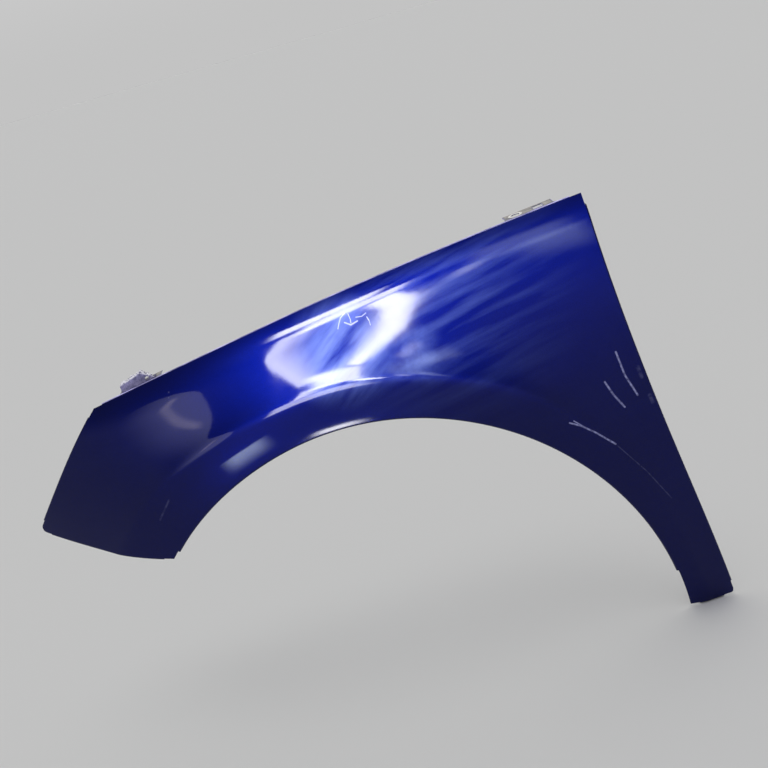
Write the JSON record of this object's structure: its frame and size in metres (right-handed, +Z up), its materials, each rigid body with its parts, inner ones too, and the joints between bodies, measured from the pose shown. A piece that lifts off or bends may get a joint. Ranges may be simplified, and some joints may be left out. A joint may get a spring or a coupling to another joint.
{
  "type": "car fender",
  "caption": "Pressed steel front fender, left side, with flared wheel arch, turned flanges, hood bolt tabs and a welded lamp bracket.",
  "frame": {"origin": "on the upper face of the rear bolt tab of the hood flange, midway between its bolt hole and its square hole", "axes": "+X rearward along the car, +Y inboard, +Z up, as the fender is fitted to the left side of the car"},
  "size_m": [0.8253, 0.1008, 0.5551],
  "materials": {
    "paint": "deep blue metallic under clear coat, hazed and scratched",
    "primer": "grey primer with thin blue overspray, matt"
  },
  "bodies": {
    "root": {"fender_panel": "paint", "headlamp_bracket": "primer"}
  },
  "joints": []
}
